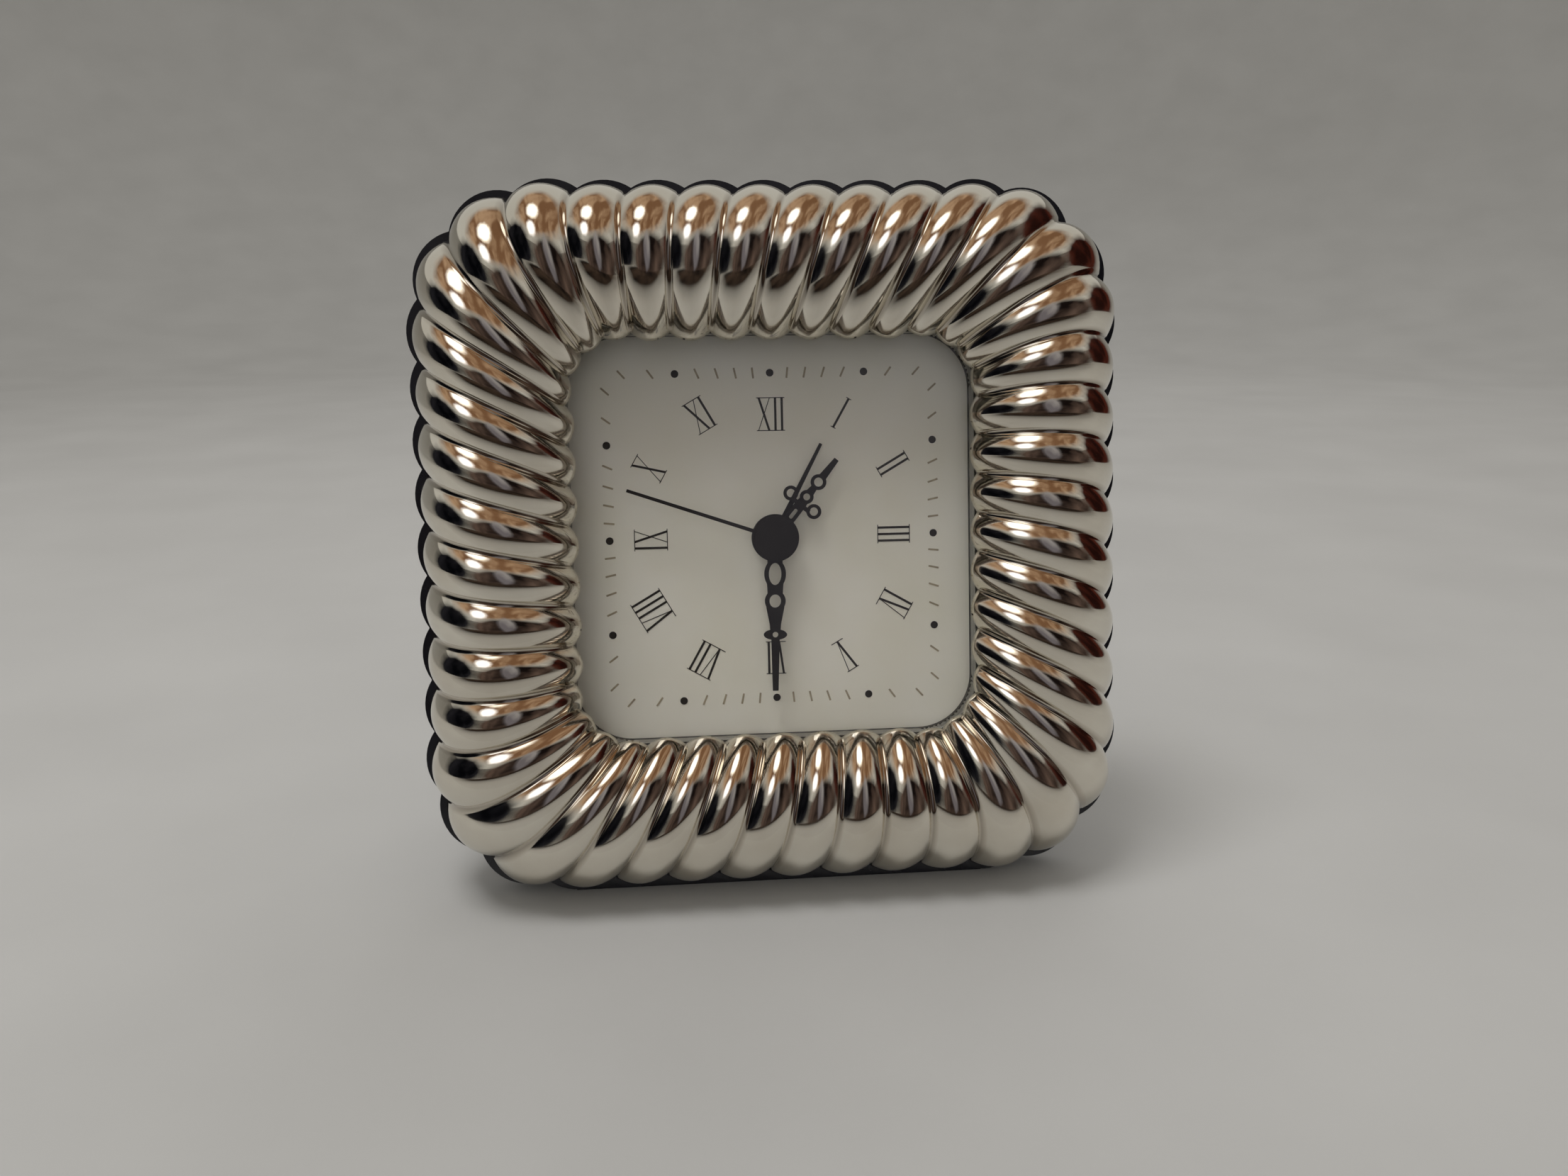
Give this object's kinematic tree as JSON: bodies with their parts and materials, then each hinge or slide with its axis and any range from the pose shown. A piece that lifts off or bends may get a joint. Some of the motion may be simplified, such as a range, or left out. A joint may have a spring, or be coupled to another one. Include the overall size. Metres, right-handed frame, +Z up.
{
  "type": "table clock",
  "caption": "Free-standing square quartz alarm clock with a twisted gadrooned silver frame, cream dial, open-worked black hands and a folding strut.",
  "frame": {"origin": "on the table, under the middle of the outline with the strut open", "axes": "front of the clock towards -Y, +X to the viewer's right, +Z up; the face leans back 10 degrees"},
  "size_m": [0.111, 0.0614, 0.1097],
  "materials": {
    "silver": "polished silver plate, mirror bright, fine wear",
    "core_resin": "moulded",
    "screw_steel": "zinc plated",
    "gasket_rubber": "matt",
    "crystal_acrylic": "clear, polished",
    "dial_cream": "cream lacquer, satin",
    "print_black": "printed ink",
    "print_grey": "printed ink",
    "case_black": "semi-gloss",
    "cover_black": "fine spark texture",
    "movement_grey": "moulded",
    "board_green": "solder mask",
    "chip_black": "resin drop",
    "can_metal": "drawn can",
    "buzzer_brass": "piezo disc",
    "contact_steel": "nickel plated",
    "stator_steel": "stamped",
    "bobbin_white": "moulded",
    "copper_wire": "enamelled wire",
    "cell_jacket": "plain jacket",
    "wheel_white": "moulded",
    "hand_black": "satin black lacquer",
    "knob_black": "moulded"
  },
  "bodies": {
    "case": {"gadrooned_bezel": "silver", "bezel_core": "core_resin", "bezel_screws": "screw_steel", "window_gasket": "gasket_rubber", "crystal": "crystal_acrylic", "dial_spacer": "core_resin", "dial_plate": "dial_cream", "dial_numerals": "print_black", "dial_ticks": "print_grey", "rear_case": "case_black", "back_cover": "cover_black", "cover_screws": "screw_steel", "strut_hinge_pins": "screw_steel", "movement_front_plate": "movement_grey", "movement_rear_case": "movement_grey", "movement_case_screws": "screw_steel", "movement_ear_screws": "screw_steel", "circuit_board": "board_green", "driver_chip": "chip_black", "quartz_can": "can_metal", "buzzer": "buzzer_brass", "alarm_contact_spring": "contact_steel", "stator": "stator_steel", "coil_bobbin": "bobbin_white", "coil_winding": "copper_wire", "battery_cell": "cell_jacket", "battery_contact_plus": "contact_steel", "battery_contact_minus": "contact_steel"},
    "strut": {"strut_leg": "cover_black"},
    "seconds": {"seconds_wheel": "wheel_white", "seconds_hand": "hand_black"},
    "intermediate": {"intermediate_wheel": "wheel_white"},
    "rotor": {"rotor": "wheel_white"},
    "third": {"third_wheel": "wheel_white"},
    "centre": {"centre_wheel": "wheel_white"},
    "minutes": {"cannon_pinion": "wheel_white", "minute_hand": "hand_black"},
    "motion": {"motion_wheel": "wheel_white"},
    "hours": {"hour_wheel": "wheel_white", "hour_hand": "hand_black"},
    "time_setting": {"time_setting_arbor": "wheel_white", "time_setting_knob": "knob_black"},
    "alarm": {"alarm_wheel": "wheel_white", "alarm_hand": "hand_black"},
    "alarm_setting": {"alarm_setting_arbor": "wheel_white", "alarm_setting_knob": "knob_black"},
    "alarm_switch": {"alarm_switch": "knob_black"},
    "battery_door": {"battery_door": "movement_grey"}
  },
  "joints": [
    {"name": "strut_fold", "type": "hinge", "parent": "case", "child": "strut", "pos_m": [0, 0.01364, 0.07315], "axis": [1, 0, 0], "range_deg": [-22, 0]},
    {"name": "seconds_turn", "type": "hinge", "parent": "case", "child": "seconds", "pos_m": [0, -0.00239, 0.05364], "axis": [0, 0.9848, -0.1736], "continuous": true},
    {"name": "intermediate_turn", "type": "hinge", "parent": "case", "child": "intermediate", "pos_m": [-0.00234, -0.00008, 0.06673], "axis": [0, 0.9848, -0.1736], "continuous": true},
    {"name": "rotor_turn", "type": "hinge", "parent": "case", "child": "rotor", "pos_m": [-0.01039, 0.00109, 0.07338], "axis": [0, 0.9848, -0.1736], "continuous": true},
    {"name": "third_turn", "type": "hinge", "parent": "case", "child": "third", "pos_m": [-0.01295, -0.00219, 0.05475], "axis": [0, 0.9848, -0.1736], "continuous": true},
    {"name": "centre_turn", "type": "hinge", "parent": "case", "child": "centre", "pos_m": [0, -0.00239, 0.05364], "axis": [0, 0.9848, -0.1736], "continuous": true},
    {"name": "minute_turn", "type": "hinge", "parent": "case", "child": "minutes", "pos_m": [0, -0.00239, 0.05364], "axis": [0, 0.9848, -0.1736], "continuous": true},
    {"name": "motion_turn", "type": "hinge", "parent": "case", "child": "motion", "pos_m": [0.01329, -0.00279, 0.05133], "axis": [0, 0.9848, -0.1736], "continuous": true},
    {"name": "hour_turn", "type": "hinge", "parent": "case", "child": "hours", "pos_m": [0, -0.00239, 0.05364], "axis": [0, 0.9848, -0.1736], "continuous": true},
    {"name": "time_setting_turn", "type": "hinge", "parent": "case", "child": "time_setting", "pos_m": [0.02005, -0.00076, 0.06284], "axis": [0, 0.9848, -0.1736], "continuous": true},
    {"name": "alarm_turn", "type": "hinge", "parent": "case", "child": "alarm", "pos_m": [0, -0.00239, 0.05364], "axis": [0, 0.9848, -0.1736], "continuous": true},
    {"name": "alarm_setting_turn", "type": "hinge", "parent": "case", "child": "alarm_setting", "pos_m": [0.00955, -0.00073, 0.06304], "axis": [0, 0.9848, -0.1736], "continuous": true},
    {"name": "alarm_switch_slide", "type": "slide", "parent": "case", "child": "alarm_switch", "axis": [0, 0.1736, 0.9848], "range_m": [0, 0.003]},
    {"name": "battery_door_slide", "type": "slide", "parent": "case", "child": "battery_door", "axis": [0, -0.1736, -0.9848], "range_m": [0, 0.012]}
  ],
  "couplings": [
    {"joint": "intermediate_turn", "follows": "seconds_turn", "ratio": -5},
    {"joint": "rotor_turn", "follows": "seconds_turn", "ratio": 30},
    {"joint": "third_turn", "follows": "seconds_turn", "ratio": -0.13333},
    {"joint": "centre_turn", "follows": "seconds_turn", "ratio": 0.016667},
    {"joint": "motion_turn", "follows": "minute_turn", "ratio": -0.33333},
    {"joint": "hour_turn", "follows": "minute_turn", "ratio": 0.083333},
    {"joint": "time_setting_turn", "follows": "minute_turn", "ratio": 1},
    {"joint": "alarm_setting_turn", "follows": "alarm_turn", "ratio": -4}
  ]
}
